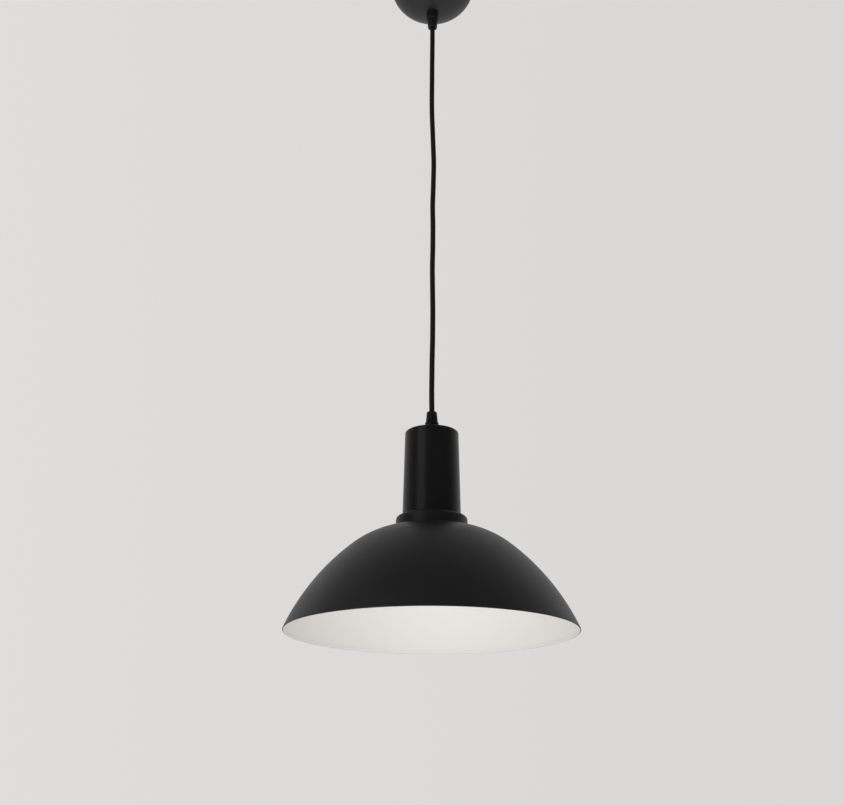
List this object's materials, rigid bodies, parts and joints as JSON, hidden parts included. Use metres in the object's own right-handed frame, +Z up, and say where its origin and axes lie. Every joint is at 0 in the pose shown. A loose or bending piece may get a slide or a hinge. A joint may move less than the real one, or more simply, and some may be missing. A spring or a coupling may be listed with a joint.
{
  "type": "pendant ceiling light",
  "caption": "Pendant light: dome canopy, round flex in two cord grips, tapered socket cup and collar over a wide spun shade, with lampholder and screw-in lamp.",
  "frame": {"origin": "centre of the ceiling face, between the two fixing slots of the ceiling bracket", "axes": "+Z up through the ceiling, the light hangs to -Z; X runs along the bracket; -Y is the side the picture is taken from"},
  "size_m": [0.3489, 0.349, 0.9438],
  "materials": {
    "black_powder": "matte",
    "satin_black": "satin",
    "black_screw": "satin",
    "zinc_steel": "satin",
    "brass": "satin",
    "spring_bronze": "satin",
    "solder": "satin",
    "nickel_cap": "satin",
    "black_nylon": "satin",
    "natural_nylon": "satin",
    "black_flex": "satin",
    "black_resin": "satin",
    "brown_core": "satin",
    "blue_core": "satin",
    "earth_core": "satin",
    "porcelain": "gloss",
    "black_glass": "gloss",
    "opal_glass": "satin"
  },
  "bodies": {
    "ceiling_fitting": {"ceiling_bracket": "zinc_steel", "bracket_earth_screw": "brass", "terminal_block": "natural_nylon", "terminal_inserts": "brass", "terminal_screws": "zinc_steel", "terminal_block_screw": "zinc_steel", "canopy": "black_powder", "canopy_screws": "black_screw", "canopy_nipple": "zinc_steel", "canopy_nut": "zinc_steel", "canopy_washer": "zinc_steel", "canopy_grip_base": "black_nylon", "canopy_grip_cap": "black_nylon", "canopy_grip_collet": "natural_nylon", "cord_head": "black_flex", "upper_live_wire": "brown_core", "upper_neutral_wire": "blue_core", "upper_earth_wire": "earth_core"},
    "flex_bend": {"cord_bend": "black_flex"},
    "pendant": {"cord": "black_flex", "cord_tail": "black_flex", "cup_grip_base": "black_nylon", "cup_grip_cap": "black_nylon", "cup_grip_collet": "natural_nylon", "lamp_tube": "zinc_steel", "cup_washer": "zinc_steel", "cup_nut": "zinc_steel", "cup": "satin_black", "collar": "satin_black", "shade": "black_powder", "shade_ring": "black_resin", "holder_skirt": "black_resin", "holder_cap": "satin_black", "holder_set_screw": "zinc_steel", "holder_core": "porcelain", "screw_shell": "brass", "centre_contact": "spring_bronze", "contact_rivets": "brass", "holder_terminals": "brass", "holder_terminal_screws": "zinc_steel", "holder_earth_screw": "zinc_steel", "lower_live_wire": "brown_core", "lower_neutral_wire": "blue_core", "lower_earth_wire": "earth_core"},
    "lamp_tip": {"lamp_contact": "solder"},
    "lamp": {"lamp_insulator": "black_glass", "lamp_cap": "nickel_cap", "lamp_globe": "opal_glass"}
  },
  "joints": [
    {"name": "swing_side", "type": "hinge", "parent": "ceiling_fitting", "child": "flex_bend", "pos_m": [0, 0, -0.086], "axis": [0, 1, 0], "range_deg": [-40, 40]},
    {"name": "swing_fore", "type": "hinge", "parent": "flex_bend", "child": "pendant", "pos_m": [0, 0, -0.104], "axis": [1, 0, 0], "range_deg": [-40, 40]},
    {"name": "lamp_travel", "type": "slide", "parent": "pendant", "child": "lamp_tip", "axis": [0, 0, -1], "range_m": [0, 0.02]},
    {"name": "lamp_turn", "type": "hinge", "parent": "lamp_tip", "child": "lamp", "pos_m": [0, 0, -0.8], "axis": [0, 0, -1], "range_deg": [0, 1980]}
  ],
  "couplings": [
    {"joint": "lamp_travel", "follows": "lamp_turn", "m_per_rad": 0.00057757}
  ]
}
